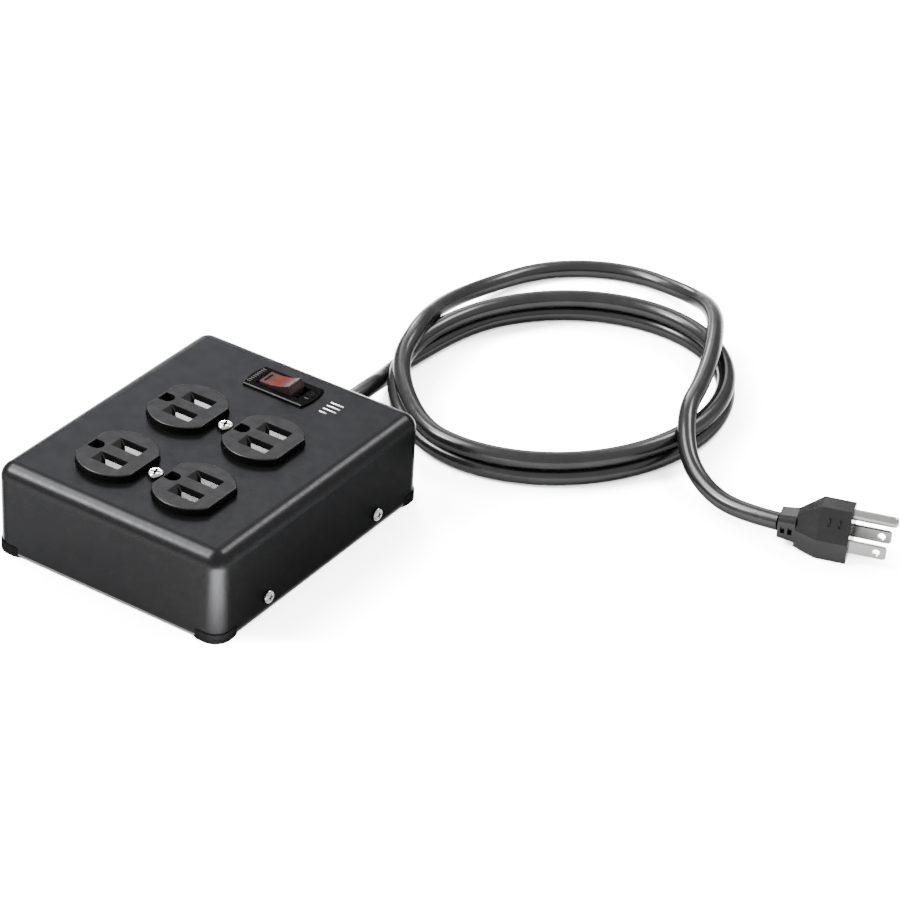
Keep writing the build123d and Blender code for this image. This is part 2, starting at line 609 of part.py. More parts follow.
with BuildPart() as switch_plunger:
    with BuildSketch(ROCKER_PLAN.offset(1.0 - PLUNGER[1])):
        Circle(PLUNGER[0])
    extrude(amount=PLUNGER[1])
    fillet(switch_plunger.faces().sort_by(Axis.Z)[0].edges(), 1.0)
save(switch_plunger, "switch_plunger")

arm_lean = radians(ARM_TILT)
ARM_SIDE = Plane(
    origin=(0, SWITCH_Y, ARM_Z), x_dir=(cos(arm_lean), 0, -sin(arm_lean)), z_dir=(0, -1, 0)
)
with BuildPart() as contact_arm:
    with BuildSketch(ARM_SIDE):
        Rectangle(ARM[0], ARM[2], align=(Align.CENTER, Align.MIN))
        Circle(ARM_RIB)
    extrude(amount=ARM[1] / 2, both=True)
save(contact_arm, "contact_arm")

with BuildPart() as switch_terminals:
    arm_drop = TERMINAL_PITCH * tan(arm_lean)      # arm's underside at the outer contacts
    for x, under in ((-TERMINAL_PITCH, arm_drop), (0, ARM_RIB), (TERMINAL_PITCH, arm_drop)):
        with BuildSketch(Plane.XY.offset(HOUSING_BOTTOM - TERMINAL[2])):
            with Locations((x, SWITCH_Y)):
                Rectangle(TERMINAL[0], TERMINAL[1])
        extrude(amount=HOUSING_FLOOR - HOUSING_BOTTOM + TERMINAL[2])
        with BuildSketch(Plane.XY.offset(HOUSING_FLOOR)):
            with Locations((x, SWITCH_Y)):
                Rectangle(TERMINAL[0], 3.0)
        extrude(amount=ARM_Z - under - TOUCH - HOUSING_FLOOR)
save(switch_terminals, "switch_terminals")

LAMP = (4.6, PIVOT_Z + 2.0)
with BuildPart() as indicator_lamp:
    with BuildSketch(Plane.XZ.offset(-SWITCH_Y)):
        with Locations(LAMP):
            Circle(1.4)
    extrude(amount=2.5, both=True)
    with BuildSketch(Plane.XY.offset(HOUSING_FLOOR)):
        with Locations((LAMP[0], SWITCH_Y - 2.6), (LAMP[0], SWITCH_Y + 2.6)):
            Circle(0.25)
    extrude(amount=LAMP[1] - HOUSING_FLOOR)
save(indicator_lamp, "indicator_lamp")

with BuildPart() as breaker_bimetal:
    with BuildSketch(Plane.XY.offset(HOUSING_FLOOR)):
        with Locations((-9.9, SWITCH_Y)):
            Rectangle(0.5, 4.0)
    extrude(amount=7.0)
    with BuildSketch(Plane.YZ.offset(-9.65)):
        with Locations((SWITCH_Y, HOUSING_FLOOR + 5.6)):
            Circle(1.0)
    extrude(amount=0.5)
save(breaker_bimetal, "breaker_bimetal")

# ---------------------------------------------------------------- surge board
BOARD_TOP = BOARD_Z + BOARD[2]
with BuildPart() as surge_board:
    with BuildSketch(Plane.XY.offset(BOARD_Z)):
        with Locations(BOARD_AT):
            Rectangle(BOARD[0], BOARD[1])
        with Locations(*BOARD_HOLES):
            Circle(1.3, mode=Mode.SUBTRACT)
    extrude(amount=BOARD[2])
save(surge_board, "surge_board")

VARISTORS = {"line_neutral": -9.0, "line_ground": -2.0, "neutral_ground": 5.0}
for pair, offset_y in VARISTORS.items():
    disc_y = BOARD_AT[1] + offset_y
    with BuildPart() as varistor:
        with BuildSketch(Plane.XZ.offset(-disc_y)):
            with Locations((BOARD_AT[0] + 6.0, BOARD_TOP + 9.0)):
                Circle(7.0)
        extrude(amount=2.2, both=True)
        fillet(varistor.edges(), 1.2)
        with BuildSketch(Plane.XY.offset(BOARD_TOP)):
            with Locations((BOARD_AT[0] + 2.3, disc_y), (BOARD_AT[0] + 9.7, disc_y)):
                Circle(0.4)
        extrude(amount=9.0)
    save(varistor, f"varistor_{pair}")

with BuildPart() as thermal_fuse:
    with BuildSketch(Plane.XY.offset(BOARD_TOP)):
        with Locations((BOARD_AT[0] - 4.5, BOARD_AT[1] - 5.0)):
            RectangleRounded(4.0, 11.0, 0.6)
    extrude(amount=4.0)
save(thermal_fuse, "thermal_fuse")

with BuildPart() as filter_capacitor:
    with BuildSketch(Plane.XY.offset(BOARD_TOP)):
        with Locations((BOARD_AT[0] - 11.5, BOARD_AT[1])):
            RectangleRounded(6.5, 18.0, 0.6)
    extrude(amount=12.5)
save(filter_capacitor, "filter_capacitor")

with BuildPart() as lamp_resistor:
    with BuildSketch(Plane.XZ.offset(-(BOARD_AT[1] + 5.0))):
        with Locations((BOARD_AT[0] - 4.5, BOARD_TOP + 1.3)):
            Circle(1.2)
    extrude(amount=3.2, both=True)
save(lamp_resistor, "lamp_resistor")

with BuildPart() as board_screws:
    for spot in BOARD_HOLES:
        with BuildSketch(Plane.XY.offset(BOARD_TOP)):
            with Locations(spot):
                Circle(2.3)
        extrude(amount=1.5)
        with BuildSketch(Plane.XY.offset(PLATE_TOP + 0.5)):
            with Locations(spot):
                Circle(1.2)
        extrude(amount=BOARD_TOP - PLATE_TOP - 0.5)
save(board_screws, "board_screws")

# ---------------------------------------------------------------- inside wires
FRONT_Y = DUPLEXES["front"]
REAR_Y = DUPLEXES["rear"]
JACKET_END = REAR - 14.0
SIDE_Y = BODY[1] / 2 + 4.6       # wires stand this far off a duplex's middle
LOW_Z = 6.0
WIRES = {
    "line_wire": [
        (CORD_X + 2.1, JACKET_END, CORD_Z + 1.2), (CORD_X + 8.0, 48.0, 9.5),
        (7.0, 44.0, 9.0), (3.0, 44.0, 14.5),
    ],
    "neutral_wire": [
        (CORD_X - 2.1, JACKET_END, CORD_Z + 1.2), (-4.0, 46.0, 9.0),
        (-6.0, 34.0, 10.0), (-TERMINAL_X, REAR_Y + SIDE_Y + 1.2, TERMINAL_Z - 6.0),
    ],
    "ground_wire": [
        (CORD_X, JACKET_END, CORD_Z - 2.2), (4.0, 40.0, LOW_Z), (5.0, 20.0, LOW_Z),
        (6.0, REAR_Y, BODY_BOTTOM - SHEET - 3.4),
    ],
    "switched_line_wire": [
        (9.0, 44.0, 14.5), (18.0, 34.0, 9.0), (38.0, 10.0, LOW_Z), (38.0, -10.0, 8.0),
        (TERMINAL_X + 11.0, REAR_Y - SIDE_Y, 15.0), (TERMINAL_X, REAR_Y - SIDE_Y, TERMINAL_Z - 5.5),
    ],
    "line_jumper": [
        (-TERMINAL_X, REAR_Y - SIDE_Y, TERMINAL_Z - 5.5), (-TERMINAL_X - 9.0, REAR_Y - SIDE_Y, 11.0),
        (-24.0, -30.0, LOW_Z), (-24.0, -46.0, LOW_Z),
        (-TERMINAL_X - 4.0, FRONT_Y - SIDE_Y, 13.0), (-TERMINAL_X, FRONT_Y - SIDE_Y, TERMINAL_Z - 5.5),
    ],
    "neutral_jumper": [
        (TERMINAL_X, REAR_Y + SIDE_Y, TERMINAL_Z - 5.5), (TERMINAL_X + 9.0, REAR_Y + SIDE_Y - 3.0, 11.0),
        (20.0, 12.0, LOW_Z), (20.0, -6.0, LOW_Z),
        (TERMINAL_X + 5.0, FRONT_Y + SIDE_Y, 10.0), (TERMINAL_X, FRONT_Y + SIDE_Y, TERMINAL_Z - 5.5),
    ],
    "ground_jumper": [
        (-6.0, REAR_Y, BODY_BOTTOM - SHEET - 3.4), (-6.0, 0.0, LOW_Z), (-5.0, -26.0, LOW_Z),
        (-6.0, FRONT_Y, BODY_BOTTOM - SHEET - 3.4),
    ],
}
for wire_name, wire_points in WIRES.items():
    with BuildPart() as wire:
        swept, _ = tube(wire_points, WIRE_D, bend_radii(wire_points))
        add(swept)
    save(wire, wire_name)

# ---------------------------------------------------------------- cord
rim_r, rim_out, rim_in = BUSHING_RIM
with BuildPart() as cord_bushing:
    rear_face = Plane(origin=(CORD_X, REAR, CORD_Z), x_dir=(1, 0, 0), z_dir=(0, 1, 0))
    with BuildSketch(rear_face.offset(-SHEET - rim_in)):
        Circle(rim_r)
    extrude(amount=rim_in)
    with BuildSketch(rear_face.offset(-SHEET)):
        Circle(BUSHING_NECK)
    extrude(amount=SHEET)
    with BuildSketch(rear_face):
        Circle(rim_r)
    extrude(amount=rim_out)
    with BuildSketch(rear_face.offset(rim_out)):
        Circle(SLEEVE_RADII[0])
    with BuildSketch(rear_face.offset(SLEEVE)):
        Circle(SLEEVE_RADII[1])
    loft()
    with BuildSketch(rear_face.offset(-SHEET - rim_in)):
        Circle(CORD_D / 2)
    extrude(amount=SLEEVE + SHEET + rim_in, mode=Mode.SUBTRACT)
save(cord_bushing, "cord_bushing")

with BuildPart() as cord_inner:
    with BuildSketch(Plane(origin=(CORD_X, JACKET_END, CORD_Z), x_dir=(1, 0, 0), z_dir=(0, 1, 0))):
        Circle(CORD_D / 2)
    extrude(amount=REAR + SLEEVE - JACKET_END)
save(cord_inner, "cord_inner")

FLOOR_Z = CORD_D / 2
RIDE_Z = COIL_LAYERS * CORD_D + CORD_D / 2 + 0.4     # lying on top of the coil
# the cord's corners: x from the case's middle, y from its rear wall, z from the floor
LEAD_CORNERS = [
    (CORD_X, SLEEVE, CORD_Z),
    (CORD_X, 42.15, CORD_Z),
    (-4.0, 61.15, 6.0),
    (-6.5, 78.15, FLOOR_Z),
]
TAIL_CORNERS = [
    (4.0, 58.15, COIL_LAYERS * CORD_D),
    (-4.5, 88.15, RIDE_Z + 0.6),
    (-14.0, 122.15, 13.0),
    (-15.5, 158.15, 5.0),
    (-2.5, 194.15, FLOOR_Z),
    (28.0, 215.15, FLOOR_Z),
    (64.0, 211.65, 6.0),
    (91.0, 189.15, 17.0),
    (109.0, 156.15, RIDE_Z + 0.6),
    (121.0, 125.15, RIDE_Z),
    (127.0, 100.65, RIDE_Z),
    (140.5, 80.15, 11.5),
    (157.5, 69.65, 6.6),
    (175.5, 64.95, 6.2),
    PLUG_PLACE,
]
LEAD_ROUTE = [(x, y + REAR, z) for x, y, z in LEAD_CORNERS]
TAIL_ROUTE = [(x, y + REAR, z) for x, y, z in TAIL_CORNERS]
PLUG_POINT = TAIL_ROUTE[-1]
plug_turn = radians(PLUG_ANGLE)
PLUG_AXIS = (cos(plug_turn), sin(plug_turn), 0)
for cord_name, route in (("cord_lead", LEAD_ROUTE), ("cord_tail", TAIL_ROUTE)):
    radii = bend_radii(route)
    with BuildPart() as cord:
        swept, length = tube(route, CORD_D, radii)
        add(swept)
    section = pi * CORD_D**2 / 4
    print(cord_name, "length", round(length, 1), "radii", [round(radius, 1) for radius in radii])
    print(cord_name, "volume over section x length", round(cord.part.volume / (section * length), 4))
    save(cord, cord_name)

with BuildPart() as cord_coil:
    with BuildSketch(Plane(origin=(COIL_CENTRE[0], COIL_CENTRE[1] + REAR, 0))):
        Ellipse(COIL_AXES[0] + CORD_D / 2, COIL_AXES[1] + CORD_D / 2, rotation=COIL_ANGLE)
        Ellipse(
            COIL_AXES[0] - CORD_D / 2, COIL_AXES[1] - CORD_D / 2,
            rotation=COIL_ANGLE, mode=Mode.SUBTRACT,
        )
    extrude(amount=COIL_LAYERS * CORD_D)
    chamfer(cord_coil.edges().filter_by(GeomType.ELLIPSE), 1.6)
save(cord_coil, "cord_coil")

# ---------------------------------------------------------------- plug
COLLAR, CONE, BLOCK = PLUG_LENGTHS
FACE_AT = COLLAR + CONE + BLOCK
BLADE_Z = -1.0                   # blade line from the cord's axis
PIN_Z = BLADE_Z + GROUND_DROP


def plug_plane(distance):
    """A plane across the plug's axis: local x is sideways and local y is up."""
    start = Vector(*PLUG_POINT) + Vector(*PLUG_AXIS) * distance
    return Plane(origin=start, x_dir=(-sin(plug_turn), cos(plug_turn), 0), z_dir=PLUG_AXIS)


def outline(half_low, half_high, bottom, shoulder, top):
    """Six sides: upright at the foot, then leaning in from the shoulder to the top."""
    with BuildSketch() as shape:
        with BuildLine():
            Polyline(
                (-half_low, bottom), (half_low, bottom), (half_low, shoulder),
                (half_high, top), (-half_high, top), (-half_low, shoulder), close=True,
            )
        make_face()
    return shape.sketch


with BuildPart() as plug_collar:
    for distance, size in zip((0, COLLAR), COLLAR_SIZES):
        with BuildSketch(plug_plane(distance)):
            RectangleRounded(size, size, size / 4)
    loft()
    for at in (COLLAR * 0.3, COLLAR * 0.72):
        with BuildSketch(plug_plane(at - COLLAR_WINDOW[0] / 2)):
            Rectangle(2 * CORD_D, COLLAR_WINDOW[1])
            Circle(CORD_D / 2 + FIT, mode=Mode.SUBTRACT)
        extrude(amount=COLLAR_WINDOW[0], mode=Mode.SUBTRACT)
save(plug_collar, "plug_collar")

half_low, half_high, _, shoulder, top = PLUG_GRIP
lean = Vector(half_high - half_low, top - shoulder).normalized()
with BuildPart() as plug_body:
    with BuildSketch(plug_plane(COLLAR)):
        add(outline(*PLUG_NECK))
    with BuildSketch(plug_plane(COLLAR + CONE)):
        add(outline(*PLUG_GRIP))
    loft(ruled=True)
    with BuildSketch(plug_plane(COLLAR + CONE)):
        add(outline(*PLUG_GRIP))
    extrude(amount=BLOCK)
    bar_length, bar_width, bar_height = GRIP_BAR
    for at in GRIP_BARS:
        for side in (-1, 1):
            middle = ((half_low + half_high) / 2 * side, (shoulder + top) / 2)
            with BuildSketch(plug_plane(COLLAR + CONE + at)):
                with Locations(Location(middle, -side * (90 - degrees(atan2(lean.Y, -lean.X))))):
                    Rectangle(2 * bar_height, bar_length)
            extrude(amount=bar_width)
    for side in (-1, 1):
        with BuildSketch(plug_plane(FACE_AT)):
            with Locations((side * BLADE_PITCH / 2, BLADE_Z)):
                Rectangle(BLADE[1] + 2 * SOCKET_GAP, BLADE[0] + 2 * SOCKET_GAP)
        extrude(amount=-BLADE_ROOT, mode=Mode.SUBTRACT)
    with BuildSketch(plug_plane(FACE_AT)):
        with Locations((0, PIN_Z)):
            Circle(PIN_R + SOCKET_GAP)
    extrude(amount=-BLADE_ROOT, mode=Mode.SUBTRACT)
save(plug_body, "plug_body")

for blade_name, side in (("plug_line_blade", -1), ("plug_neutral_blade", 1)):
    middle = plug_plane(0).from_local_coords((side * BLADE_PITCH / 2, BLADE_Z, 0))
    blade_side = Plane(origin=middle, x_dir=PLUG_AXIS, z_dir=(-sin(plug_turn), cos(plug_turn), 0))
    with BuildPart() as blade:
        with BuildSketch(blade_side):
            with Locations((FACE_AT - BLADE_ROOT, 0)):
                Rectangle(BLADE_LENGTH + BLADE_ROOT, BLADE[0], align=(Align.MIN, Align.CENTER))
            with Locations((FACE_AT + BLADE_LENGTH - BLADE_HOLE[1], 0)):
                Circle(BLADE_HOLE[0], mode=Mode.SUBTRACT)
        extrude(amount=BLADE[1] / 2, both=True)
        fillet(blade.edges().filter_by(Axis(middle, blade_side.z_dir)).sort_by(Axis(middle, PLUG_AXIS))[-2:], 1.6)
        chamfer(blade.faces().sort_by(Axis(middle, PLUG_AXIS))[-1].edges(), 0.4)
    save(blade, blade_name)

with BuildPart() as plug_ground_pin:
    with BuildSketch(plug_plane(FACE_AT - BLADE_ROOT)):
        with Locations((0, PIN_Z)):
            Circle(PIN_R)
    extrude(amount=PIN_LENGTH + BLADE_ROOT)
    fillet(plug_ground_pin.faces().sort_by(Axis((0, 0, 0), PLUG_AXIS))[-1].edges(), 0.8 * PIN_R)
save(plug_ground_pin, "plug_ground_pin")
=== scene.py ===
"""Boxed surge protector: its finishes, its flexible cord and the studio round it."""
import json
import math

import bpy
import numpy as np
from mathutils import Matrix, Vector


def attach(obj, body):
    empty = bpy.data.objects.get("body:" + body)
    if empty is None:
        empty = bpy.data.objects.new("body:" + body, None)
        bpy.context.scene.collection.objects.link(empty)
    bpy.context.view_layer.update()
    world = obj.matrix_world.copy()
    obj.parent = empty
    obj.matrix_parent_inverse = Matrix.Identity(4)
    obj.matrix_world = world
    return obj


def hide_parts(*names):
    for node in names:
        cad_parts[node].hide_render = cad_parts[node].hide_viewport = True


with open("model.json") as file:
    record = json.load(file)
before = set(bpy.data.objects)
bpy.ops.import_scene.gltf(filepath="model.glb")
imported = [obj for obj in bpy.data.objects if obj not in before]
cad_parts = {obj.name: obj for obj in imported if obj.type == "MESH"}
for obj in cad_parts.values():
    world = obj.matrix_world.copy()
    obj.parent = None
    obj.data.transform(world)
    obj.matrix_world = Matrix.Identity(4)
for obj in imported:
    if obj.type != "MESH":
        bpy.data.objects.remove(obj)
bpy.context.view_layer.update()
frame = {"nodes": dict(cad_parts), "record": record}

# ---------------------------------------------------------------- sizes, in metres
CORD = 0.008                     # cord's diameter
CORD_EXIT = (0.001, 0.09185, 0.012)
COIL_CENTRE = (0.0625, 0.1735)
COIL_AXES = (0.077, 0.067)       # half axes of the turns' centreline
COIL_ANGLE = 69.0                # long axis from +X, degrees
COIL_STEPS = 16                  # route points in one turn
PLUG_POINT = (0.1943, 0.1359, 0.0082)
CASE_TOP = 0.0412
BEZEL_TOP = CASE_TOP + 0.0012
FACE_TOP = CASE_TOP + 0.0033
SWITCH_Y = 0.0491
INK = 0.00008                    # thickness of a printed mark

# the coil's turns: where they start, how many, and the part of the walk that climbs a diameter
COIL_START = 114.0               # degrees from the long axis
COIL_TURNS = 1.83
CLIMB_START = 0.80               # turns walked when the cord starts to climb
CLIMB_TURNS = 0.12               # turns that the climb takes
UPPER_LESS = (0.0004, 0.0008)    # how much smaller the upper turn's half axes are
UPPER_SHIFT = (0.0006, -0.001)

# the strain relief, along the cord from the outside of the rear wall
RELIEF_START = (0.001, 0.06985, 0.012)
RELIEF_PLACES = (-0.0037, -0.0012, -0.00119, 0.0, 0.00001, 0.0022, 0.0028, 0.022)
RELIEF_RADII = (0.0086, 0.0086, 0.0070, 0.0070, 0.0086, 0.0086, 0.0066, 0.0050)
RELIEF_RINGS = (0.0062, 0.0026, 0.0013, 6, 0.0012)   # first, pitch, width, count, depth

# printed signs
SIGN_COMB = (-0.0146, -0.0131, 0.0014, 0.0005)       # from x, to x, pitch, stroke
SIGN_COMB_COUNT = 9
SIGN_RING = (0.0133, 0.0022, 0.0011, 0.0004)         # x, y past the switch, radius, stroke
SIGN_BAR = (0.0128, 0.0146, -0.0022, 0.0005)         # from x, to x, y past the switch, stroke
COVER_SIGN_X = 0.0228
COVER_SIGN = ((0.0437, 0.003), (0.0465, 0.006), (0.0493, 0.006), (0.0521, 0.006))   # y, length
COVER_STROKE = 0.0007

CAMERA_PLACE = (0.7025, -0.9286, 0.7776)
CAMERA_AIM = (0.0487, 0.1057, 0.0012)
CAMERA_ROLL = 3.22               # degrees
CAMERA_LENS = 134.2              # mm, on a sensor 36 mm wide

SKY = 8.0                        # strength of the white sky
LAMP_AIM = (0.05, 0.08, 0.0)
LAMPS = {                        # place, aim, size, watts
    "lamp_back": ((-1.05, 1.4, 1.0), LAMP_AIM, (1.2, 0.8), 145.0),
    "lamp_edge": ((-0.95, -0.2, 1.5), LAMP_AIM, (1.0, 0.7), 260.0),
    "lamp_slots": ((-0.85, -0.7, 1.0), LAMP_AIM, (0.4, 0.4), 190.0),
    "lamp_right": ((0.35, 1.25, 1.35), LAMP_AIM, (0.6, 0.4), 130.0),
    "lamp_low": ((-0.89, 1.05, 0.48), (0.19, 0.13, 0.0), (0.3, 0.2), 110.0),
}
POOL = ((0.15, -0.16, 0.5), (0.105, -0.115, 0.0), 14.0, 2200.0)   # place, aim, cone, watts
FLOOR_REACH = 6.0

LEAD_ROUTE = [
    CORD_EXIT,
    (0.001, 0.112, 0.012),
    (-0.004, 0.131, 0.006),
    (-0.0068, 0.148, 0.004),
]
TAIL_ROUTE = [
    (0.004, 0.128, 0.0165),
    (-0.0045, 0.158, 0.021),
    (-0.014, 0.192, 0.013),
    (-0.0155, 0.228, 0.005),
    (-0.0025, 0.264, 0.004),
    (0.028, 0.285, 0.004),
    (0.064, 0.2815, 0.006),
    (0.091, 0.259, 0.017),
    (0.109, 0.226, 0.021),
    (0.121, 0.195, 0.0204),
    (0.127, 0.1705, 0.0204),
    (0.1405, 0.150, 0.0115),
    (0.1575, 0.1395, 0.0066),
    (0.1755, 0.1348, 0.0062),
    PLUG_POINT,
]


# ---------------------------------------------------------------- camera, light, floor
def set_camera():
    """A long lens above the front right corner, turned a little about its own axis."""
    data = bpy.data.cameras.new("camera")
    data.lens = CAMERA_LENS
    data.sensor_width = 36.0
    data.clip_end = 20.0
    camera = bpy.data.objects.new("camera", data)
    bpy.context.scene.collection.objects.link(camera)
    place = Vector(CAMERA_PLACE)
    look = (Vector(CAMERA_AIM) - place).to_track_quat("-Z", "Y").to_matrix().to_4x4()
    roll = Matrix.Rotation(math.radians(CAMERA_ROLL), 4, "Z")
    camera.matrix_world = Matrix.Translation(place) @ look @ roll
    bpy.context.scene.camera = camera


def add_lamp(name, data, place, aim):
    """A lamp at a place, facing a point."""
    lamp = bpy.data.objects.new(name, data)
    bpy.context.scene.collection.objects.link(lamp)
    lamp.location = place
    lamp.rotation_euler = (Vector(aim) - Vector(place)).to_track_quat("-Z", "Y").to_euler()


def soft_light(name, place, aim, size, power):
    """A rectangular studio lamp."""
    data = bpy.data.lights.new(name, "AREA")
    data.shape = "RECTANGLE"
    data.size, data.size_y = size
    data.energy = power
    add_lamp(name, data, place, aim)


def pool_light(name, place, aim, cone, power):
    """A lamp that lights only a pool of the floor, cone degrees wide, with a soft rim."""
    data = bpy.data.lights.new(name, "SPOT")
    data.spot_size = math.radians(cone)
    data.spot_blend = 1.0
    data.shadow_soft_size = 0.02
    data.energy = power
    add_lamp(name, data, place, aim)


def set_studio():
    """Pale floor and sky, and lamps placed by what the black pieces mirror from them.

    The back one is seen in the top and the cord, the edge one in the rolled edge over the front
    wall, the slots one in the ramps of the outlet slots, the right one in the edge over the right
    wall, the low one in the cord, and the lit pool of floor in the front corner.
    """
    world = bpy.data.worlds.new("studio_sky")
    world.use_nodes = True
    sky = world.node_tree.nodes["Background"]
    sky.inputs["Color"].default_value = (1.0, 1.0, 1.0, 1.0)
    sky.inputs["Strength"].default_value = SKY
    bpy.context.scene.world = world
    for name, lamp in LAMPS.items():
        soft_light(name, *lamp)
    pool_light("lamp_corner", *POOL)
    data = bpy.data.meshes.new("floor")
    corners = [(-1, -1), (1, -1), (1, 1), (-1, 1)]
    data.from_pydata([(x * FLOOR_REACH, y * FLOOR_REACH, 0) for x, y in corners], [], [(0, 1, 2, 3)])
    floor = bpy.data.objects.new("floor", data)
    bpy.context.scene.collection.objects.link(floor)
    floor.data.materials.append(floor_paper())


# ---------------------------------------------------------------- finishes
def new_finish(name, colour, roughness, metallic=0.0):
    """A shader with plain colour, roughness and metallic set on its own sockets."""
    finish = bpy.data.materials.new(name)
    finish.use_nodes = True
    shader = finish.node_tree.nodes["Principled BSDF"]
    shader.inputs["Base Color"].default_value = (*colour, 1.0)
    shader.inputs["Roughness"].default_value = roughness
    shader.inputs["Metallic"].default_value = metallic
    return finish, finish.node_tree, shader


def noise(tree, size, detail=2.0):
    """Noise with features about size metres across, on the piece's own coordinates."""
    where = tree.nodes.new("ShaderNodeTexCoord")
    node = tree.nodes.new("ShaderNodeTexNoise")
    node.inputs["Scale"].default_value = 1.0 / size
    node.inputs["Detail"].default_value = detail
    tree.links.new(where.outputs["Object"], node.inputs["Vector"])
    return node.outputs["Fac"]


def spread(tree, value, low, high):
    """Stretches the middle of a 0 to 1 noise over low to high."""
    node = tree.nodes.new("ShaderNodeMapRange")
    node.inputs["From Min"].default_value = 0.3
    node.inputs["From Max"].default_value = 0.7
    node.inputs["To Min"].default_value = low
    node.inputs["To Max"].default_value = high
    tree.links.new(value, node.inputs["Value"])
    return node.outputs["Result"]


def blended(tree, value, dark, light):
    """Colour that drifts between two shades with a value."""
    node = tree.nodes.new("ShaderNodeMix")
    node.data_type = "RGBA"
    node.inputs["A"].default_value = (*dark, 1.0)
    node.inputs["B"].default_value = (*light, 1.0)
    tree.links.new(value, node.inputs["Factor"])
    return node


def tint(tree, shader, value, dark, light):
    """Gives a shader a colour that drifts between two shades."""
    tree.links.new(blended(tree, value, dark, light).outputs["Result"], shader.inputs["Base Color"])


def darken(shader, share, glancing):
    """Makes a black finish: a share of dark mirror, with weaker glancing reflections.

    The glancing strength keeps a white room from turning black paint or vinyl grey.
    """
    shader.inputs["Metallic"].default_value = share
    shader.inputs["Specular IOR Level"].default_value = 0.0
    shader.inputs["Specular Tint"].default_value = (*glancing, 1.0)


def relief(tree, shader, height, depth):
    """Bumps in the surface: a 0 to 1 height, and the depth in metres that 1 stands for."""
    node = tree.nodes.new("ShaderNodeBump")
    node.inputs["Distance"].default_value = depth
    tree.links.new(height, node.inputs["Height"])
    tree.links.new(node.outputs["Normal"], shader.inputs["Normal"])


def grained(name, dark, light, rough, grain, depth, dark_metal=None):
    """A finish with a fine grain, uneven sheen and a slow drift between two shades.

    dark_metal is for black paint and vinyl: the share of dark mirror and the strength that its
    glancing reflections keep.
    """
    finish, tree, shader = new_finish(name, light, rough[0])
    tint(tree, shader, noise(tree, 14 * grain, 4.0), dark, light)
    tree.links.new(spread(tree, noise(tree, 5 * grain), *rough), shader.inputs["Roughness"])
    relief(tree, shader, noise(tree, grain), depth)
    if dark_metal:
        share, glancing = dark_metal
        darken(shader, share, (glancing, glancing, glancing))
    return finish


def outlet_plastic():
    """Moulded black plastic: grained on the outlet faces, glossy on their sides and in the slots.

    A step in height, 0 under the faces and 1 at their level, mixes the two sheens and paints shade:
    under the faces, down their sides and into the slots, the colour is a darker painted shade.
    """
    finish, tree, shader = new_finish("face_plastic", (0.02, 0.02, 0.021), 0.3)
    where = tree.nodes.new("ShaderNodeTexCoord")
    split = tree.nodes.new("ShaderNodeSeparateXYZ")
    tree.links.new(where.outputs["Object"], split.inputs["Vector"])
    step = tree.nodes.new("ShaderNodeMapRange")
    step.inputs["From Min"].default_value = FACE_TOP - 0.00035
    step.inputs["From Max"].default_value = FACE_TOP - 0.00005
    tree.links.new(split.outputs["Z"], step.inputs["Value"])
    on_top = step.outputs["Result"]
    tops = blended(tree, noise(tree, 0.0045, 4.0), (0.0044, 0.0044, 0.0045), (0.0066, 0.0066, 0.0067))
    # painted shade: below the face level, down the sides and in the slots, this darker colour stands in
    # for shade; the faces keep their grained grey
    grain_and_painted_shade = blended(tree, on_top, (0.0042, 0.0042, 0.0042), (0.0066, 0.0066, 0.0067))
    tree.links.new(tops.outputs["Result"], grain_and_painted_shade.inputs["B"])
    tree.links.new(grain_and_painted_shade.outputs["Result"], shader.inputs["Base Color"])
    sheen = tree.nodes.new("ShaderNodeMapRange")
    sheen.inputs["To Min"].default_value = 0.12
    sheen.inputs["To Max"].default_value = 0.42
    tree.links.new(on_top, sheen.inputs["Value"])
    tree.links.new(sheen.outputs["Result"], shader.inputs["Roughness"])
    relief(tree, shader, noise(tree, 0.00035), 0.00002)
    darken(shader, 0.85, (0.46, 0.46, 0.46))
    return finish


def floor_paper():
    """Seamless white studio paper."""
    finish, tree, shader = new_finish("floor_paper", (0.9, 0.9, 0.9), 0.9)
    tint(tree, shader, noise(tree, 0.4, 3.0), (0.88, 0.88, 0.88), (0.92, 0.92, 0.92))
    return finish


def brushed(name, dark, light, rough, direction, pitch):
    """Metal with fine parallel scratches: noise stretched along one direction."""
    finish, tree, shader = new_finish(name, light, rough[0], 1.0)
    where = tree.nodes.new("ShaderNodeTexCoord")
    stretch = tree.nodes.new("ShaderNodeMapping")
    stretch.inputs["Scale"].default_value = direction
    streaks = tree.nodes.new("ShaderNodeTexNoise")
    streaks.inputs["Scale"].default_value = 1.0 / pitch
    streaks.inputs["Detail"].default_value = 3.0
    tree.links.new(where.outputs["Object"], stretch.inputs["Vector"])
    tree.links.new(stretch.outputs["Vector"], streaks.inputs["Vector"])
    tint(tree, shader, streaks.outputs["Fac"], dark, light)
    tree.links.new(spread(tree, streaks.outputs["Fac"], *rough), shader.inputs["Roughness"])
    relief(tree, shader, streaks.outputs["Fac"], 0.00001)
    return finish


def smoky_lens():
    """Smoky red plastic with a faint cloud in it and a soft skin."""
    finish, tree, shader = new_finish("rocker_lens", (0.0094, 0.0069, 0.0065), 0.3)
    tint(tree, shader, noise(tree, 0.004, 3.0), (0.0050, 0.0037, 0.0035), (0.0094, 0.0069, 0.0065))
    tree.links.new(spread(tree, noise(tree, 0.0016), 0.26, 0.4), shader.inputs["Roughness"])
    relief(tree, shader, noise(tree, 0.0006), 0.00001)
    darken(shader, 0.6, (0.47, 0.46, 0.458))
    return finish


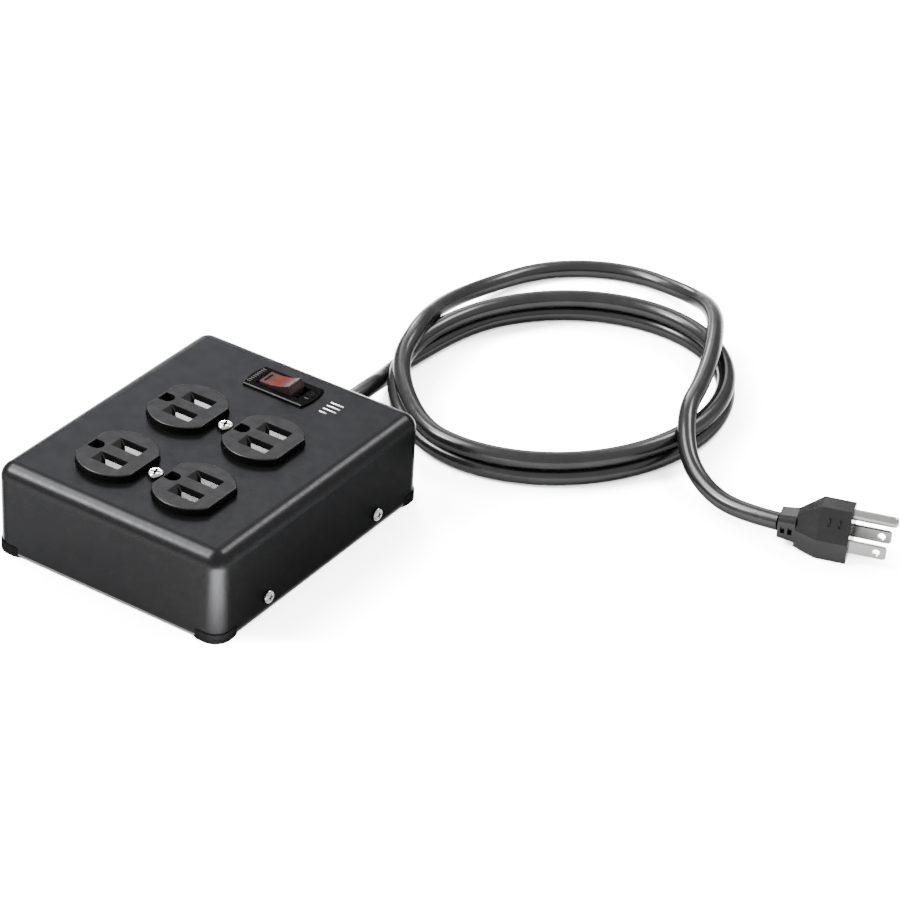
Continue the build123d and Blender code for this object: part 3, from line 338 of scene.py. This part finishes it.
# dark and light shade, roughness from and to, grain, its depth, then share and glancing strength
# of dark mirror for the black ones
GRAINED = {
    "case_paint": (
        (0.0026, 0.0026, 0.0027), (0.0034, 0.0034, 0.0035), (0.28, 0.34), 0.0004, 0.000012, (0.9, 0.482),
    ),
    "plate_steel": (
        (0.02, 0.02, 0.02), (0.035, 0.035, 0.035), (0.35, 0.5), 0.0005, 0.00002, (0.8, 0.4),
    ),
    "foot_rubber": (
        (0.0014, 0.0014, 0.0014), (0.0024, 0.0024, 0.0025), (0.5, 0.65), 0.0004, 0.00003, (0.5, 0.3),
    ),
    "body_plastic": (
        (0.008, 0.008, 0.008), (0.014, 0.014, 0.015), (0.5, 0.65), 0.0005, 0.00003, (0.5, 0.3),
    ),
    "bezel_plastic": (
        (0.0016, 0.0016, 0.0016), (0.0022, 0.0022, 0.0022), (0.3, 0.38), 0.0003, 0.00001, (0.85, 0.46),
    ),
    "cord_jacket": (
        (0.0062, 0.0062, 0.0062), (0.0088, 0.0088, 0.0088), (0.2, 0.27), 0.0007, 0.000008, (0.86, 0.48),
    ),
    "plug_vinyl": (
        (0.0054, 0.0054, 0.0055), (0.0072, 0.0072, 0.0073), (0.18, 0.26), 0.0006, 0.000008, (0.86, 0.48),
    ),
    "wire_black": (
        (0.006, 0.006, 0.006), (0.01, 0.01, 0.01), (0.4, 0.5), 0.0005, 0.00002, (0.5, 0.4),
    ),
    "grey_ink": (
        (0.009, 0.009, 0.009), (0.014, 0.014, 0.014), (0.5, 0.6), 0.0004, 0.000004, (0.7, 0.47),
    ),
    "white_ink": ((0.07, 0.07, 0.07), (0.085, 0.085, 0.085), (0.5, 0.6), 0.0004, 0.000004),
    "wire_white": ((0.65, 0.65, 0.64), (0.75, 0.75, 0.74), (0.4, 0.5), 0.0005, 0.00002),
    "wire_green": ((0.02, 0.16, 0.05), (0.04, 0.24, 0.08), (0.4, 0.5), 0.0005, 0.00002),
    "lamp_glass": ((0.7, 0.35, 0.2), (0.85, 0.5, 0.35), (0.05, 0.1), 0.001, 0.000005),
    "board": ((0.03, 0.12, 0.05), (0.05, 0.18, 0.08), (0.3, 0.45), 0.001, 0.00002),
    "varistor_blue": ((0.015, 0.06, 0.25), (0.03, 0.1, 0.35), (0.2, 0.35), 0.001, 0.00005),
    "fuse_white": ((0.7, 0.7, 0.66), (0.8, 0.8, 0.77), (0.6, 0.75), 0.0006, 0.00003),
    "capacitor_yellow": ((0.7, 0.48, 0.05), (0.82, 0.6, 0.1), (0.25, 0.4), 0.001, 0.00002),
    "resistor_tan": ((0.5, 0.36, 0.22), (0.62, 0.46, 0.3), (0.3, 0.45), 0.0006, 0.00002),
}
# dark and light shade, roughness from and to, stretch of the scratches, their pitch
BRUSHED = {
    "nickel_screw": ((0.03, 0.03, 0.0295), (0.10, 0.099, 0.097), (0.08, 0.2), (1, 1, 6), 0.0006),
    "plug_nickel": ((0.035, 0.0348, 0.0342), (0.075, 0.0742, 0.0728), (0.12, 0.26), (1, 1, 7), 0.0007),
    "brass": ((0.45, 0.31, 0.12), (0.66, 0.49, 0.22), (0.22, 0.36), (1, 5, 1), 0.0008),
    "zinc_steel": ((0.4, 0.42, 0.45), (0.58, 0.6, 0.62), (0.25, 0.4), (6, 1, 1), 0.0009),
}


def make_finishes():
    """Every finish by the name of the record's material slot that it is for."""
    finishes = {name: grained(name, *look) for name, look in GRAINED.items()}
    finishes.update({name: brushed(name, *look) for name, look in BRUSHED.items()})
    finishes["face_plastic"] = outlet_plastic()
    finishes["rocker_plastic"] = smoky_lens()
    return finishes


def dress_nodes(finishes):
    """Gives each CAD node the finish of its own material slot."""
    for row in frame["record"]["subparts"]:
        node = frame["nodes"][row["node"]]
        node.data.materials.clear()
        node.data.materials.append(finishes[row["material_slot"]])


# ---------------------------------------------------------------- surfaces
def add_piece(name, points, faces, finish, body):
    """Puts computed points and faces into a mesh that rides on a body."""
    data = bpy.data.meshes.new(name)
    data.from_pydata(points.reshape(-1, 3).tolist(), [], faces)
    data.polygons.foreach_set("use_smooth", [True] * len(data.polygons))
    data.update()
    piece = bpy.data.objects.new(name, data)
    bpy.context.scene.collection.objects.link(piece)
    piece.data.materials.append(finish)
    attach(piece, body)
    return piece


def ring_faces(rows, columns):
    """Quads between neighbouring rows of a grid whose columns close into a ring."""
    row, column = np.meshgrid(np.arange(rows - 1), np.arange(columns), indexing="ij")
    after = (column + 1) % columns
    a = row * columns + column
    b = row * columns + after
    return np.stack([a, b, b + columns, a + columns], -1).reshape(-1, 4).tolist()


def flexible_sleeve(name, start, axis, stations, radii, rings, finish, nodes):
    """A sleeve turned about an axis, with cut rings bridged at two sides, as on a relief that bends.

    Radius at a place = taper along the sleeve - cut depth x ring wave x side wave, where the
    ring wave is 1 inside a cut and 0 outside it, and the side wave is 0 on two bridges that
    change sides from one cut to the next.
    """
    around = 96
    angle = np.linspace(0.0, 2 * np.pi, around, endpoint=False)
    along = np.concatenate([[stations[0]], np.linspace(stations[0], stations[-1], 220), [stations[-1]]])
    taper = np.interp(along, stations, radii)
    taper[0] = taper[-1] = CORD / 2 * 0.9
    first, pitch, width, count, depth = rings
    place = (along - first) / pitch
    ring = np.clip(place, 0, count - 1)
    distance = np.abs(along - first - np.round(ring) * pitch)
    wave = 1.0 / (1.0 + np.exp((distance - width / 2) / (0.05 * width)))
    quarter = (np.round(ring) % 2) * np.pi / 2
    bridge = np.abs(np.sin(angle[None, :] - quarter[:, None]))
    side = 1.0 / (1.0 + np.exp(-(bridge - 0.42) / 0.03))
    radius = taper[:, None] - depth * wave[:, None] * side
    axis = np.array(axis) / np.linalg.norm(axis)
    across = np.cross(axis, (0, 0, 1.0))
    across /= np.linalg.norm(across)
    over = np.cross(across, axis)
    spoke = np.cos(angle)[:, None] * across + np.sin(angle)[:, None] * over
    points = np.array(start) + along[:, None, None] * axis + radius[..., None] * spoke[None]
    faces = ring_faces(len(along), around)
    piece = add_piece(name, points, [face[::-1] for face in faces], finish, "case")
    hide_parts(*nodes)
    return piece


def strokes(name, places, finish, body, up=(0, 0, 1.0)):
    """Printed strokes with round ends: each is (start, end, width), lying across the up direction.

    An outline point = the end's centre + half the width x (cosine along the stroke + sine across
    it), with half a turn round each end; the lower and upper outlines are an ink's thickness apart.
    """
    up = np.array(up) / np.linalg.norm(up)
    half_turn = np.linspace(-np.pi / 2, np.pi / 2, 9)
    points, faces = [], []
    for start, end, width in places:
        start, end = np.array(start, float), np.array(end, float)
        along = (end - start) / np.linalg.norm(end - start)
        across = np.cross(up, along)
        outline = [end + width / 2 * (np.cos(a) * along + np.sin(a) * across) for a in half_turn]
        outline += [start - width / 2 * (np.cos(a) * along + np.sin(a) * across) for a in half_turn]
        count, first = len(outline), len(points)
        points += outline + [point + INK * up for point in outline]
        faces.append([first + count + i for i in range(count)])
        for i in range(count):
            after = (i + 1) % count
            faces.append([first + i, first + after, first + count + after, first + count + i])
    return add_piece(name, np.array(points), faces, finish, body)


def ring_strokes(centre, radius, width, count=20):
    """A circle as short strokes end to end."""
    turn = np.linspace(0, 2 * np.pi, count + 1)
    spots = [(centre[0] + radius * np.cos(a), centre[1] + radius * np.sin(a), centre[2]) for a in turn]
    return [(a, b, width) for a, b in zip(spots, spots[1:])]


def print_marks(finishes):
    """Plain signs where the switch and the cover carry printing."""
    z = BEZEL_TOP
    left, right, pitch, width = SIGN_COMB
    rows = []
    for k in range(SIGN_COMB_COUNT):
        y = SWITCH_Y + (k - SIGN_COMB_COUNT // 2) * pitch
        rows.append(((left, y, z), (right, y, z), width))
    x, y, radius, width = SIGN_RING
    rows += ring_strokes((x, SWITCH_Y + y, z), radius, width)
    left, right, y, width = SIGN_BAR
    rows.append(((left, SWITCH_Y + y, z), (right, SWITCH_Y + y, z), width))
    strokes("switch_signs", rows, finishes["grey_ink"], "case")
    bars = [
        ((COVER_SIGN_X, y, CASE_TOP), (COVER_SIGN_X + length, y, CASE_TOP), COVER_STROKE)
        for y, length in COVER_SIGN
    ]
    strokes("cover_sign", bars, finishes["white_ink"], "case")


def coil_points():
    """Turns of the cord: an ellipse walked left, back, right, front, a diameter higher each time.

    A smooth spline runs inside its points by the cosine of half a step, so the half axes grow by
    that much. The second turn is a little smaller and shifted, as loose turns are.
    """
    swell = 1.0 / math.cos(math.pi / COIL_STEPS)
    lean = math.radians(COIL_ANGLE)
    points = []
    for step in range(1, int(COIL_TURNS * COIL_STEPS) + 1):
        turned = step / COIL_STEPS
        angle = math.radians(COIL_START) - 2 * math.pi * turned
        climb = min(max((turned - CLIMB_START) / CLIMB_TURNS, 0.0), 1.0)
        long_half = (COIL_AXES[0] - UPPER_LESS[0] * climb) * swell
        short_half = (COIL_AXES[1] - UPPER_LESS[1] * climb) * swell
        x = long_half * math.cos(angle)
        y = short_half * math.sin(angle)
        points.append((
            COIL_CENTRE[0] + x * math.cos(lean) - y * math.sin(lean) + UPPER_SHIFT[0] * climb,
            COIL_CENTRE[1] + x * math.sin(lean) + y * math.cos(lean) + UPPER_SHIFT[1] * climb,
            CORD / 2 + CORD * climb,
        ))
    return points


def make_cord(finish):
    """The whole cord as one smooth curve: lead, turns of the coil, tail."""
    data = bpy.data.curves.new("cord", "CURVE")
    data.dimensions = "3D"
    spline = data.splines.new("NURBS")
    route = LEAD_ROUTE + coil_points() + TAIL_ROUTE
    spline.points.add(len(route) - 1)
    for point, place in zip(spline.points, route):
        point.co = (*place, 1.0)
    spline.order_u = 3
    spline.use_endpoint_u = True
    spline.resolution_u = 12
    data.bevel_depth = CORD / 2
    data.bevel_resolution = 8
    data.use_fill_caps = True
    cord = bpy.data.objects.new("cord", data)
    bpy.context.scene.collection.objects.link(cord)
    data.materials.append(finish)
    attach(cord, "case")
    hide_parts("cord_lead", "cord_coil", "cord_tail")
    return cord


# ---------------------------------------------------------------- the making
set_camera()
set_studio()
finishes = make_finishes()
dress_nodes(finishes)

cord = make_cord(finishes["cord_jacket"])
flexible_sleeve(
    "strain_relief", RELIEF_START, (0, 1, 0), RELIEF_PLACES, RELIEF_RADII, RELIEF_RINGS,
    finishes["cord_jacket"], ["cord_bushing"],
)
print_marks(finishes)
